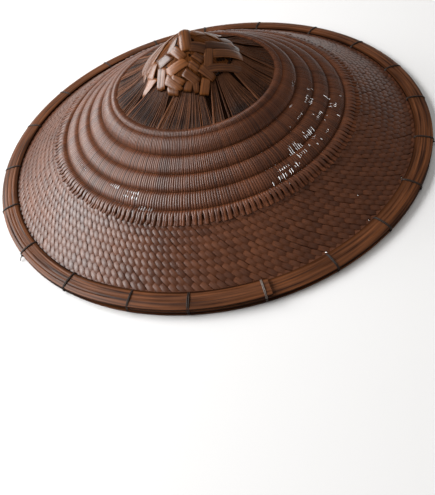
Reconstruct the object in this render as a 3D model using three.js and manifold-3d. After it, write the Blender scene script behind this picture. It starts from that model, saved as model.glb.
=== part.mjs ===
// Conical bamboo hat: a plaited peak, fans of split strips, a ribbed crown, a woven brim
// and two split-bamboo hoops lashed round the edge. Millimetres, +Z up.
// The origin is at the middle of the ring that the hat rests on.
import * as THREE from "three";
import { mergeVertices } from "three/addons/utils/BufferGeometryUtils.js";
import Module from "manifold-3d";

const wasm = await Module();
wasm.setup();

// Driving dimensions
const RIM_RADIUS = 240;
const GAP = 0.3;
const SHELL_AROUND = 54;
const HOOP_AROUND = 72;

// Peak: outer face of the plait, from the tip down to its lower edge
const PEAK_WALL = 2.1;
const PEAK_LINE = [
  { r: 0, z: 140.8 },
  { r: 5, z: 140.2 },
  { r: 10, z: 137.6 },
  { r: 20, z: 130.6 },
  { r: 34, z: 120.2 },
  { r: 48, z: 109.8 },
];
const PEAK_AROUND = 32;

// Fans of splints: one row for each, with the stretch of its foot in degrees round the hat
const FAN_WALL = 1.5;
const FAN_FEET = [
  { from: 206, to: 235 },
  { from: 236, to: 274 },
  { from: 275, to: 311 },
  { from: 312, to: 346 },
  { from: 347, to: 378 },
  { from: 379, to: 407 },
  { from: 408, to: 436 },
  { from: 437, to: 464 },
  { from: 465, to: 490 },
  { from: 491, to: 515 },
  { from: 516, to: 540 },
  { from: 541, to: 565 },
];
const FAN_ROOT = { r: 43, width: 13, back: 3 };
const FAN_LINE = [
  { r: 43, z: 110.2 },
  { r: 53, z: 103.2 },
  { r: 64, z: 96.4 },
  { r: 77, z: 90.3 },
  { r: 89.8, z: 85.9 },
];
const FAN_TILT = 1.6;
const FAN_COLUMNS = 4;

// Crown: the grooves between its ribs, and how far a rib stands proud of them
const CROWN_WALL = 2;
const RIB_RISE = 2.6;
const RIB_STEPS = 3;
const GROOVES = [
  { r: 90.5, z: 85 },
  { r: 104, z: 73.5 },
  { r: 120.3, z: 64 },
  { r: 135.7, z: 55.4 },
  { r: 151.3, z: 46.7 },
  { r: 163, z: 42.9 },
];

// Brim: outer face, from the crown to the edge that the hoops clamp
const BRIM_WALL = 1.8;
const BRIM_LINE = [
  { r: 163.4, z: 42.6 },
  { r: 180, z: 32.3 },
  { r: 200, z: 19.8 },
  { r: 212, z: 12.3 },
  { r: 218.5, z: 8.4 },
  { r: 222, z: 7.2 },
  { r: 237, z: 5.1 },
];

// Hoops: both lie at the shallow slope of the brim's edge
const HOOP_SLOPE = 0.14;
const TOP_HOOP = { inner: 221.8, outer: RIM_RADIUS, seat: 7.5, thick: 2.5, crown: 0.35 };
// Where the top hoop's upper face bends, as shares of its width, and how far each place is raised
const TOP_HOOP_FACE = [
  { share: 0, raised: -0.8 },
  { share: 0.12, raised: 0 },
  { share: 0.5, raised: TOP_HOOP.crown },
  { share: 0.88, raised: 0 },
  { share: 1, raised: -0.8 },
];
// The top hoop's lap over its own start, in degrees round the hat
const LAP = { under_end: 243.5, over_end: 275.5, ramp: 20, level: 1 };
const UNDER_HOOP = { inner: 222.3, outer: 239.6, seat: 4.95, thick: 2.75, edge: 0.8 };
const FOOT = { inner: 233.5, outer: 239 };

// Lashings: their places in degrees round the hat, and the strand's size
const LASHING_ANGLES = [
  12, 29, 46, 65, 83, 100, 118, 136, 153, 172, 189, 207, 225, 243, 257, 274, 291, 307, 322, 339, 356,
];
const LASHING = { width: 1.8, thick: 1.1, inner: TOP_HOOP.inner - 2 * GAP, outer: RIM_RADIUS + GAP };
const LASHING_FOOT = { z: 0.05, inner_rise: 0.7, outer_rise: 1.2, corner: 0.6 };
const LASHING_HOLE = { radius: 1.35, length: 12, z: 7, sides: 6 };
const NICK = { depth: 1.5, half_width: 1.4, flank: 0.8 };

const finishes = {
  plait: new THREE.MeshStandardMaterial({ color: 0x8f6243, roughness: 0.42, metalness: 0 }),
  splints: new THREE.MeshStandardMaterial({ color: 0x6b4737, roughness: 0.5, metalness: 0 }),
  ribs: new THREE.MeshStandardMaterial({ color: 0x74503f, roughness: 0.5, metalness: 0 }),
  weave: new THREE.MeshStandardMaterial({ color: 0x7a5443, roughness: 0.5, metalness: 0 }),
  hoop: new THREE.MeshStandardMaterial({ color: 0x87522f, roughness: 0.45, metalness: 0 }),
  lashing: new THREE.MeshStandardMaterial({ color: 0x2f2823, roughness: 0.6, metalness: 0 }),
};

const hat = new THREE.Group();

function addPiece(name, geometry, material) {
  const piece = new THREE.Mesh(geometry, material);
  piece.name = name;
  hat.add(piece);
  return piece;
}

const radians = (degrees) => THREE.MathUtils.degToRad(degrees);

// A point at radius r, height z and an angle in degrees round the hat
function polar(r, z, degrees) {
  return new THREE.Vector3(r * Math.cos(radians(degrees)), r * Math.sin(radians(degrees)), z);
}

// The same line moved inwards by the wall's thickness, square to the line at each point
function innerLine(line, wall) {
  return line.map((point, i) => {
    const before = line[Math.max(i - 1, 0)];
    const after = line[Math.min(i + 1, line.length - 1)];
    const run = Math.hypot(after.r - before.r, after.z - before.z);
    const inward = { r: (after.z - before.z) / run, z: (before.r - after.r) / run };
    return { r: Math.max(point.r + wall * inward.r, 0), z: point.z + wall * inward.z };
  });
}

// A shell turned round the hat's axis, between an outer line and an inner one
function turnedShell(outer, inner, around) {
  const profile = [...inner, ...[...outer].reverse()];
  if (outer[0].r > 0) profile.push(inner[0]);
  const points = profile.map(({ r, z }) => new THREE.Vector2(r, z));
  const shell = new THREE.LatheGeometry(points, around);
  shell.rotateX(Math.PI / 2);
  return shell;
}

// A closed slab between an upper and a lower grid of points. Each grid is a list of rows
// with the same number of points; a round slab joins its last row to its first. The upper
// face looks along the cross product of the way the rows follow each other and a row's own way.
function slab(upper, lower, round = false) {
  const rows = upper.length;
  const columns = upper[0].length;
  const points = [...upper.flat(), ...lower.flat()];
  const up = (i, j) => (i % rows) * columns + j;
  const down = (i, j) => rows * columns + up(i, j);
  const triangles = [];
  const quad = (a, b, c, d) => triangles.push(a, c, b, a, d, c);
  const spans = round ? rows : rows - 1;
  for (let i = 0; i < spans; i += 1) {
    for (let j = 0; j < columns - 1; j += 1) {
      quad(up(i, j), up(i, j + 1), up(i + 1, j + 1), up(i + 1, j));
      quad(down(i, j), down(i + 1, j), down(i + 1, j + 1), down(i, j + 1));
    }
    quad(up(i, 0), up(i + 1, 0), down(i + 1, 0), down(i, 0));
    quad(up(i + 1, columns - 1), up(i, columns - 1), down(i, columns - 1), down(i + 1, columns - 1));
  }
  if (!round) {
    const last = rows - 1;
    for (let j = 0; j < columns - 1; j += 1) {
      quad(up(0, j + 1), up(0, j), down(0, j), down(0, j + 1));
      quad(up(last, j), up(last, j + 1), down(last, j + 1), down(last, j));
    }
  }
  const geometry = new THREE.BufferGeometry();
  const positions = points.flatMap((point) => point.toArray());
  geometry.setAttribute("position", new THREE.Float32BufferAttribute(positions, 3));
  geometry.setIndex(triangles);
  geometry.computeVertexNormals();
  return geometry;
}

function solidOf(geometry) {
  geometry.deleteAttribute("normal");
  geometry.deleteAttribute("uv");
  const merged = mergeVertices(geometry);
  return new wasm.Manifold(new wasm.Mesh({
    numProp: 3,
    vertProperties: merged.attributes.position.array,
    triVerts: merged.index.array,
  }));
}

function geometryOf(solid) {
  const mesh = solid.getMesh();
  const geometry = new THREE.BufferGeometry();
  geometry.setAttribute("position", new THREE.Float32BufferAttribute(mesh.vertProperties, 3));
  geometry.setIndex([...mesh.triVerts]);
  geometry.computeVertexNormals();
  return geometry;
}

// Peak
function makePeak() {
  const inner = innerLine(PEAK_LINE, PEAK_WALL);
  inner[0].r = 0;
  addPiece("peak_weave", turnedShell(PEAK_LINE, inner, PEAK_AROUND), finishes.plait);
}

// Fans: each spreads from a narrow root under the plait to its foot on the first rib
function makeFan(foot, name) {
  const across = [...Array(FAN_COLUMNS + 1).keys()].map((j) => j / FAN_COLUMNS);
  const rootTo = foot.to - FAN_ROOT.back;
  const footLine = FAN_LINE[FAN_LINE.length - 1];
  const raised = (wall) => FAN_LINE.map(({ r, z }) => across.map((u) => {
    const down = (r - FAN_ROOT.r) / (footLine.r - FAN_ROOT.r);
    const root = polar(FAN_ROOT.r, 0, rootTo - FAN_ROOT.width * (1 - u));
    const end = polar(footLine.r, 0, THREE.MathUtils.lerp(foot.from, foot.to, u));
    const place = root.lerp(end, down);
    const tilt = FAN_TILT * (0.5 - u) * Math.sin(Math.PI * down);
    return place.setZ(z + tilt - wall);
  }));
  addPiece(name, slab(raised(0), raised(FAN_WALL)), finishes.splints);
}

// Crown: round ribs between the grooves, with the inner face following them
function makeCrown() {
  const outer = [];
  const inner = [];
  for (let i = 0; i < GROOVES.length - 1; i += 1) {
    const from = GROOVES[i];
    const to = GROOVES[i + 1];
    const run = Math.hypot(to.r - from.r, to.z - from.z);
    const outward = { r: (from.z - to.z) / run, z: (to.r - from.r) / run };
    const pointAt = (u, lift) => ({
      r: THREE.MathUtils.lerp(from.r, to.r, u) + outward.r * lift,
      z: THREE.MathUtils.lerp(from.z, to.z, u) + outward.z * lift,
    });
    for (let k = 0; k < RIB_STEPS; k += 1) {
      const u = k / RIB_STEPS;
      outer.push(pointAt(u, 4 * RIB_RISE * u * (1 - u)));
    }
    inner.push(pointAt(0, -CROWN_WALL));
    inner.push(pointAt(0.5, RIB_RISE - CROWN_WALL));
    if (i === GROOVES.length - 2) {
      outer.push(pointAt(1, 0));
      inner.push(pointAt(1, -CROWN_WALL));
    }
  }
  addPiece("crown", turnedShell(outer, inner, SHELL_AROUND), finishes.ribs);
}

// Brim: a shell pierced beside the hoops for each lashing
function makeBrim() {
  const inner = innerLine(BRIM_LINE, BRIM_WALL);
  let brim = solidOf(turnedShell(BRIM_LINE, inner, SHELL_AROUND));
  const holeRadius = LASHING.inner - LASHING.thick / 2;
  for (const angle of LASHING_ANGLES) {
    const { radius, length, sides } = LASHING_HOLE;
    const hole = new THREE.CylinderGeometry(radius, radius, length, sides);
    hole.rotateX(Math.PI / 2);
    const { x, y, z } = polar(holeRadius, LASHING_HOLE.z, angle);
    hole.translate(x, y, z);
    brim = brim.subtract(solidOf(hole));
  }
  addPiece("brim", geometryOf(brim), finishes.weave);
}

// Height of a hoop's seat at radius r
const seatOf = (hoop, r) => hoop.seat - HOOP_SLOPE * (r - hoop.inner);

// How far the top hoop is lifted where its upper end lies over its lower one
function lapLift(degrees) {
  const rampEnd = LAP.under_end + 360 - LAP.level;
  const climb = THREE.MathUtils.smoothstep(degrees, rampEnd - LAP.ramp, rampEnd);
  return climb * (TOP_HOOP.thick + TOP_HOOP.crown + GAP);
}

// Top hoop: one strip whose end laps over its start. Its rows follow each other round the hat
// and run inwards, so that the slab's upper face looks up.
function makeTopHoop() {
  const start = LAP.under_end;
  const end = LAP.over_end + 360;
  const steps = Math.round((end - start) / (360 / HOOP_AROUND));
  const face = TOP_HOOP_FACE.map(({ share, raised }) => ({
    r: THREE.MathUtils.lerp(TOP_HOOP.inner, TOP_HOOP.outer, share),
    raised: TOP_HOOP.thick + raised,
  })).reverse();
  const upper = [];
  const lower = [];
  for (let i = 0; i <= steps; i += 1) {
    const degrees = THREE.MathUtils.lerp(start, end, i / steps);
    const lift = lapLift(degrees);
    upper.push(face.map(({ r, raised }) => polar(r, seatOf(TOP_HOOP, r) + raised + lift, degrees)));
    lower.push(face.map(({ r }) => polar(r, seatOf(TOP_HOOP, r) + lift, degrees)));
  }
  addPiece("rim_hoop_top", slab(upper, lower), finishes.hoop);
}

// Angles for the under hoop: an even ring, with four more beside each lashing's nick
function underHoopAngles() {
  const toDegrees = (length) => THREE.MathUtils.radToDeg(length / RIM_RADIUS);
  const bottom = toDegrees(NICK.half_width);
  const edge = toDegrees(NICK.half_width + NICK.flank);
  const besideNicks = LASHING_ANGLES.flatMap((angle) => (
    [angle - edge, angle - bottom, angle + bottom, angle + edge]
  ));
  const even = [...Array(HOOP_AROUND).keys()].map((i) => i * (360 / HOOP_AROUND));
  const free = even.filter((angle) => LASHING_ANGLES.every((place) => Math.abs(place - angle) > 2 * edge));
  return [...besideNicks, ...free].sort((a, b) => a - b);
}

// Under hoop: rests on its flat foot, nicked under each lashing
function makeUnderHoop() {
  const nickReach = NICK.half_width + NICK.flank / 2;
  const upper = [];
  const lower = [];
  for (const degrees of underHoopAngles()) {
    const nearest = Math.min(...LASHING_ANGLES.map((place) => Math.abs(place - degrees)));
    const foot = radians(nearest) * RIM_RADIUS < nickReach ? NICK.depth : 0;
    const heel = seatOf(UNDER_HOOP, UNDER_HOOP.inner) - UNDER_HOOP.thick;
    const radii = [UNDER_HOOP.outer, FOOT.outer, FOOT.inner, UNDER_HOOP.inner];
    upper.push(radii.map((r) => polar(r, seatOf(UNDER_HOOP, r), degrees)));
    lower.push([
      polar(UNDER_HOOP.outer, UNDER_HOOP.edge + foot / 2, degrees),
      polar(FOOT.outer, foot, degrees),
      polar(FOOT.inner, foot, degrees),
      polar(UNDER_HOOP.inner, heel, degrees),
    ]);
  }
  addPiece("rim_hoop_under", slab(upper, lower, true), finishes.hoop);
}

// Lashings: each a closed band round both hoops and through the brim, with its corners cut off
function makeLashing(angle, name) {
  const onLap = angle < LAP.over_end && angle > LAP.over_end - 180;
  const lift = lapLift(onLap ? angle + 360 : angle);
  const { inner, outer, thick } = LASHING;
  const { z, inner_rise, outer_rise, corner } = LASHING_FOOT;
  const top = (r) => seatOf(TOP_HOOP, r) + TOP_HOOP.thick + TOP_HOOP.crown + GAP + lift;
  const corners = (list) => list.map(([r, height]) => new THREE.Vector2(r, height));
  const band = new THREE.Shape(corners([
    [inner - thick, z + inner_rise],
    [FOOT.inner - corner, z],
    [outer, z],
    [outer + thick, z + outer_rise],
    [outer + thick, top(outer) + GAP],
    [outer - corner, top(outer) + thick],
    [inner + GAP, top(inner) + thick],
    [inner - thick, top(inner) + GAP],
  ]));
  band.holes.push(new THREE.Path(corners([
    [inner, z + inner_rise + thick],
    [inner, top(inner)],
    [outer, top(outer)],
    [outer, z + outer_rise + GAP],
    [outer - corner, z + thick],
    [FOOT.inner, z + thick],
  ])));
  const lashing = new THREE.ExtrudeGeometry(band, {
    depth: LASHING.width,
    bevelEnabled: false,
    steps: 1,
  });
  lashing.translate(0, 0, -LASHING.width / 2);
  lashing.rotateX(Math.PI / 2);
  const piece = addPiece(name, lashing, finishes.lashing);
  piece.rotation.z = radians(angle);
}

const numbered = (stem, i) => `${stem}_${String(i + 1).padStart(2, "0")}`;

makePeak();
FAN_FEET.forEach((foot, i) => makeFan(foot, numbered("splint_fan", i)));
makeCrown();
makeBrim();
makeTopHoop();
makeUnderHoop();
LASHING_ANGLES.forEach((angle, i) => makeLashing(angle, numbered("rim_lashing", i)));

export default hat;
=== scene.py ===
import math
import bmesh
import bpy
import numpy as np
from mathutils import Matrix, Vector


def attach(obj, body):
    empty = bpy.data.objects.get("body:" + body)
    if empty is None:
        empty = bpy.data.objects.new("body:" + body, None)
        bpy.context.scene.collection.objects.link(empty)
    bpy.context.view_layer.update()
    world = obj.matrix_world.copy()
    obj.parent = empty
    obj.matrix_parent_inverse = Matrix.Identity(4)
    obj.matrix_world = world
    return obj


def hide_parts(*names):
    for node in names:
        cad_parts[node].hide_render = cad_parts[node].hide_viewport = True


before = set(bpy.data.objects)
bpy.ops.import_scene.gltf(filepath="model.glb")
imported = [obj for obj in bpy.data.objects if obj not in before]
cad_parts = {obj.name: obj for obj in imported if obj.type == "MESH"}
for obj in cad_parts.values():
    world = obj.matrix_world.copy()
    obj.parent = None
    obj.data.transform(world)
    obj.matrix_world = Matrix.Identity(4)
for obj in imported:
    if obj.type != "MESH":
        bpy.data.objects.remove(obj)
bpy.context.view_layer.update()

# Floor, lamps and camera
# A pale floor for the hat to rest on, lit as by a large window at the far left and a pale room,
# with small lamps under the hat that show through its slits and pinholes. The camera is at the
# photograph's angle.
mm = 0.001
rim_radius = 240 * mm
rim_mid_height = 3.5 * mm


def finish_of(name):
    material = bpy.data.materials.new(name)
    material.use_nodes = True
    return material, material.node_tree.nodes, material.node_tree.links


def put(name, data):
    """Puts a mesh, lamp or camera into the scene under a name."""
    thing = bpy.data.objects.new(name, data)
    bpy.context.collection.objects.link(thing)
    return thing


floor_half_width = 4.0
floor_mesh = bpy.data.meshes.new("floor")
floor_sides = ((-1, -1), (1, -1), (1, 1), (-1, 1))
floor_corners = [(x * floor_half_width, y * floor_half_width, 0) for x, y in floor_sides]
floor_mesh.from_pydata(floor_corners, [], [(0, 1, 2, 3)])
floor_finish, nodes, _ = finish_of("pale_floor")
floor_look = nodes["Principled BSDF"].inputs
floor_look["Base Color"].default_value = (0.93, 0.93, 0.93, 1)
floor_look["Roughness"].default_value = 0.9
floor_mesh.materials.append(floor_finish)
floor = put("floor", floor_mesh)

room = bpy.data.worlds.new("pale_room")
bpy.context.scene.world = room
room.use_nodes = True
room_light = room.node_tree.nodes["Background"].inputs
room_light["Color"].default_value = (1, 0.94, 0.88, 1)
room_light["Strength"].default_value = 0.17
bpy.context.scene.view_settings.view_transform = "Standard"


def soft_lamp(name, place, aim, width, height, power):
    """A soft lamp of a width and height in metres and a power in watts, turned to face its aim."""
    lamp = bpy.data.lights.new(name, "AREA")
    lamp.shape = "RECTANGLE"
    lamp.size = width
    lamp.size_y = height
    lamp.energy = power
    holder = put(name, lamp)
    away = (Vector(place) - Vector(aim)).to_track_quat("Z", "Y")
    holder.matrix_world = Matrix.Translation(place) @ away.to_matrix().to_4x4()
    return holder


soft_lamp("window", (-1.7, 0.57, 1.2), (-0.1, 0, 0.05), 2.1, 1.3, 78)
soft_lamp("side_window", (-1.5, -0.56, 1.0), (0, 0, 0.08), 0.8, 0.8, 3)
ceiling = soft_lamp("ceiling", (0.6, 0.2, 2.2), (0, 0, 0), 2.2, 2.2, 11)
ceiling.visible_glossy = False
# Small lamps facing the floor under the hat: across, away from the camera, height, width, depth, power
lamps_under_hat = (
    (124, 10, 15, 76, 136, 0.05), (-100, -40, 15, 60, 80, 0.03), (65, -66, 15, 40, 40, 0.012),
    (80.2, -193.5, 3, 14, 14, 0.0032), (129, -167, 3, 14, 14, 0.0032), (177, -121, 3, 14, 14, 0.0032),
    (206, -66, 3, 14, 14, 0.0032), (124.9, -129.3, 8, 20, 20, 0.006),
)
for number, (x, y, z, width, depth, power) in enumerate(lamps_under_hat, start=1):
    place = (x * mm, y * mm, z * mm)
    soft_lamp(f"lamp_under_hat_{number}", place, (x * mm, y * mm, 0), width * mm, depth * mm, power)

# The photograph's frame, in pixels, and where its camera stood, as fitted to the hat's rings
photo_height = 495
focal_length = 700
sensor_width = 36
elevation, roll, pan, tilt = (math.radians(angle) for angle in (38.1012, 13.6293, -1.4204, 8.5326))
camera_distance = 3.3161 * rim_radius
right = Vector((1, 0, 0))
back = Vector((0, -math.cos(elevation), math.sin(elevation)))
level_view = Matrix((right, back.cross(right), back))
turned = Matrix.Rotation(roll, 3, "Z") @ Matrix.Rotation(tilt, 3, "X") @ Matrix.Rotation(pan, 3, "Y")
to_camera = turned @ level_view
camera_data = bpy.data.cameras.new("camera")
camera_data.sensor_width = sensor_width
camera_data.lens = focal_length / photo_height * sensor_width
camera = put("camera", camera_data)
camera_place = back * camera_distance + Vector((0, 0, rim_mid_height))
camera.matrix_world = Matrix.Translation(camera_place) @ to_camera.transposed().to_4x4()
bpy.context.scene.camera = camera

# Plaited peak
# Wide strips of split bamboo, smooth skin outwards, plaited over and under round the point like
# the corner of a basket: three quarters of a flat plait closed to a cone. One more strip is
# folded over the tip. The ends run on into the fans.
plait_line = (
    (0, 140.8), (5, 140.2), (10, 137.6), (20, 130.6), (34, 120.2), (48, 109.6), (54, 104.4), (64, 97),
    (78, 90.3),
)
strip_thick = 0.7 * mm
strip_swell = 0.2 * mm
strip_top = 0.4 * mm
strip_dip = 1.1 * mm
strip_tuck = 2.4 * mm
strip_fall = 3.4 * mm
strip_stations = 13
strip_across = (-0.02, 0.02, 0.2, 0.5, 0.8, 0.98, 1.02)
strip_edge_drop = 0.4 * mm
# How much painted shade deepens the strips' tone towards the right, away from the window, and over what
# distance
right_painted_shade, right_reach = 0.5, 20 * mm
# Where each strip's visible float lies on the plan, by its four corners in millimetres: the two at
# one tucked end, then the two at the other
plait_floats = (
    ((-10.5, -9.5), (-18.7, -11.1), (-10.7, -23), (-3, -20.5)),
    ((-33, -4.2), (-30.9, -17.8), (-16.9, -18.4), (-22.2, -8.7)),
    ((-26.1, -22.3), (-22.7, -32.3), (-2.3, -29.7), (-8, -22.7)),
    ((-33, -15.7), (-29.6, -19.1), (-35.2, -34.5), (-38.4, -31.5)),
    ((-29.6, -19.1), (-25.5, -22.8), (-30.4, -36.1), (-35.2, -34.4)),
    ((-37.8, -0.4), (-32.6, -9.6), (-40.2, -20.8), (-46.5, -12.9)),
    ((-40.3, 1.2), (-37.7, -4.3), (-45, -10), (-46.4, -2.9)),
    ((-45.4, -15.6), (-36.8, -25.7), (-51.2, -28.2), (-54.6, -25)),
    ((-24.2, -28), (-30.6, -34.1), (-20.5, -45.2), (-13.9, -44.3)),
    ((-19.6, -31.6), (-22.4, -33.5), (-14.6, -42.3), (-10, -39.9)),
    ((-4.6, -32), (-11.1, -36.4), (-1.3, -46.6), (4.5, -42.1)),
    ((1.8, -27), (-3.1, -30.9), (2.8, -36.5), (6.9, -32)),
    ((12.4, -30.8), (5.2, -36.6), (14.6, -44.7), (19.8, -40.1)),
    ((15.5, -16.8), (24.4, -14.2), (19.8, -31.2), (11.7, -32.2)),
    ((4.2, -11), (1.7, -18.6), (14.5, -21.3), (18, -10.4)),
    ((6.8, -20.5), (2.5, -24.4), (8.4, -29.6), (13.8, -24.2)),
    ((6.3, -43), (13.8, -45), (10, -54.2), (1.7, -52.8)),
    ((-3.9, -43.9), (2.8, -45.2), (1.1, -51.1), (-3.6, -50.5)),
    ((-9.4, -42.4), (-3.3, -44.6), (-5.6, -49), (-12.6, -46.3)),
    ((-28.2, -39.1), (-17.8, -46.3), (-18.8, -48.2), (-28.8, -42)),
    ((-4.6, 1.3), (-11.5, 2.2), (-20.9, -8.6), (-13.8, -12.5)),
)
# Floats whose outer end runs on into a fan
running_floats = (
    ((14.2, -31.5), (13.1, -38.6), (36.6, -34.4), (39.4, -26.1)),
    ((24.4, -14.2), (23.2, -23.6), (42, -17.1), (42.5, -6)),
    ((18.6, -7.1), (17.2, -16), (41.7, -6.5), (42.8, 6.3)),
)
run_on = 11 * mm
run_fall = 2.2 * mm
run_start = 3 * mm
# Small eyes between the strips, on the plan
eyes = (
    (0.3, -22), (9.3, -29.8), (-13.1, -37.5), (-13.9, -44.2), (-0.6, -51.3), (-10.2, -10.2),
    (26.4, -24.7), (29, -23.4), (32, -21.8), (36.7, -19.4), (6.2, -8.9), (-45.6, -1.2),
    (-25.2, -21.8), (-22.3, -32),
)
eye_radius = 1.8 * mm
eye_points = 8
eye_top, eye_bottom = -0.62 * mm, -1.2 * mm
tip_fold = ((-5.5, 11), (6.5, 9), (4.5, -17), (-7.5, -16))
tip_top, tip_dip, tip_tuck, tip_swell, tip_darker = 0.2 * mm, 1.2 * mm, 2.0 * mm, 1.3 * mm, 0.5
# The far side of the peak repeats the floats nearer than this to its axis, turned half round
repeated_within = 50
# The layer of strips just under the floats, which falls away towards its edge
layer_turns, layer_rows = 72, 18
layer_from, layer_to = 0.2 * mm, 52 * mm
layer_top, layer_bottom = -0.75 * mm, -1.5 * mm
layer_falls_from, layer_falls_over, layer_fall = 44 * mm, 8 * mm, 0.25


def smooth_line(line, step=0.5 * mm, rounds=12):
    """A profile line resampled by its length: distance, radius, height and outward normal."""
    r, z = np.array(line).T * mm
    length = np.concatenate(([0], np.cumsum(np.hypot(np.diff(r), np.diff(z)))))
    s = np.arange(0, length[-1], step)
    r, z = np.interp(s, length, r), np.interp(s, length, z)
    for _ in range(rounds):
        r[1:-1] = (r[:-2] + 2 * r[1:-1] + r[2:]) / 4
        z[1:-1] = (z[:-2] + 2 * z[1:-1] + z[2:]) / 4
    along_r, along_z = np.gradient(r, s), np.gradient(z, s)
    return s, r, z, -along_z, along_r


def round_axis(radius, angle, height):
    """Points at a distance from the hat's axis, an angle round it and a height."""
    return np.stack(np.broadcast_arrays(radius * np.cos(angle), radius * np.sin(angle), height), axis=-1)


def full_turn(steps):
    return np.arange(steps) * 2 * math.pi / steps


def on_line(line, distance, angle, lift):
    """Points at a distance down a profile line, an angle round the hat and a height above the line."""
    s, r, z, out_r, out_z = line
    radius = np.interp(distance, s, r) + np.interp(distance, s, out_r) * lift
    height = np.interp(distance, s, z) + np.interp(distance, s, out_z) * lift
    return round_axis(radius, angle, height)


def strip_part(upper, lower, fibre, rise, tone=None, joined=False):
    """A closed strip between two grids of points, as a part of a piece. A joined one closes on itself.
    A rise given for each point holds for the upper side only."""
    rows, columns = upper.shape[:2]
    top = np.arange(rows * columns).reshape(rows, columns)
    bottom = top + rows * columns
    faces = []
    for row in range(rows if joined else rows - 1):
        here, there = top[row], top[(row + 1) % rows]
        below, beyond = bottom[row], bottom[(row + 1) % rows]
        for i in range(columns - 1):
            faces.append((here[i], there[i], there[i + 1], here[i + 1]))
            faces.append((below[i + 1], beyond[i + 1], beyond[i], below[i]))
        faces.append((here[0], below[0], beyond[0], there[0]))
        faces.append((there[-1], beyond[-1], below[-1], here[-1]))
    if not joined:
        faces += [(*top[0], *bottom[0][::-1]), (*top[-1][::-1], *bottom[-1])]
    fibre = np.stack(np.broadcast_arrays(*fibre), axis=-1).reshape(-1, 2)
    # A per-point rise leaves the lower side at none, so there it takes the painted shade colour in full
    if np.ndim(rise):
        rise = np.concatenate([np.ravel(rise), np.zeros(len(fibre))])
    part = {
        "points": np.concatenate([upper.reshape(-1, 3), lower.reshape(-1, 3)]), "faces": faces,
        "fibre": np.concatenate([fibre, fibre]), "rise": rise,
    }
    return part if tone is None else {**part, "tone": tone}


def keep(mesh, label, parts):
    """Keeps one of the parts' values for each point of their mesh."""
    values = [np.broadcast_to(part[label], len(part["points"])) for part in parts]
    attribute = mesh.attributes.new(label, "FLOAT", "POINT")
    attribute.data.foreach_set("value", np.concatenate(values).astype(np.float32))


def add_piece(name, parts, material):
    """One mesh of several parts: each has points, faces, fibre coordinates, rise and tone."""
    points, faces = [], []
    for part in parts:
        faces += [tuple(int(i) + len(points) for i in face) for face in part["faces"]]
        points += part["points"].tolist()
    mesh = bpy.data.meshes.new(name)
    mesh.from_pydata(points, [], faces)
    per_point = np.concatenate([part["fibre"] for part in parts])
    corners = np.empty(len(mesh.loops), dtype=np.int32)
    mesh.loops.foreach_get("vertex_index", corners)
    layer = mesh.uv_layers.new(name="fibre")
    layer.data.foreach_set("uv", per_point[corners].astype(np.float32).ravel())
    for label in ("rise", "tone"):
        if label in parts[0]:
            keep(mesh, label, parts)
    tidy = bmesh.new()
    tidy.from_mesh(mesh)
    bmesh.ops.recalc_face_normals(tidy, faces=tidy.faces)
    tidy.to_mesh(mesh)
    tidy.free()
    mesh.materials.append(material)
    mesh.shade_smooth()
    mesh.set_sharp_from_angle(angle=math.radians(48))
    return put(name, mesh)


def new_tree(name, kind, inputs, outputs):
    """A node tree with named inputs and outputs, what adds a node or a sum to it, and its inputs."""
    tree = bpy.data.node_groups.new(name, kind)
    for side, sockets in (("INPUT", inputs), ("OUTPUT", outputs)):
        for label, socket in sockets.items():
            tree.interface.new_socket(label, in_out=side, socket_type=f"NodeSocket{socket}")

    def add(node_kind, feeds, **settings):
        node = tree.nodes.new(node_kind)
        for setting, value in settings.items():
            setattr(node, setting, value)
        for label, value in feeds.items():
            if isinstance(value, bpy.types.NodeSocket):
                tree.links.new(value, node.inputs[label])
            else:
                node.inputs[label].default_value = value
        return node

    def reckon(operation, *values, clamp=False):
        node = add("ShaderNodeMath", dict(enumerate(values)), operation=operation, use_clamp=clamp)
        return node.outputs[0]

    return tree, add, reckon, add("NodeGroupInput", {}).outputs


streak_stretch = 0.03
streak_shift = 40.0
blotch_scale = 20.0
tone_share, share_shift = 0.45, -0.23
painted_shade_share = 1.6
least_gloss = 0.04


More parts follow.
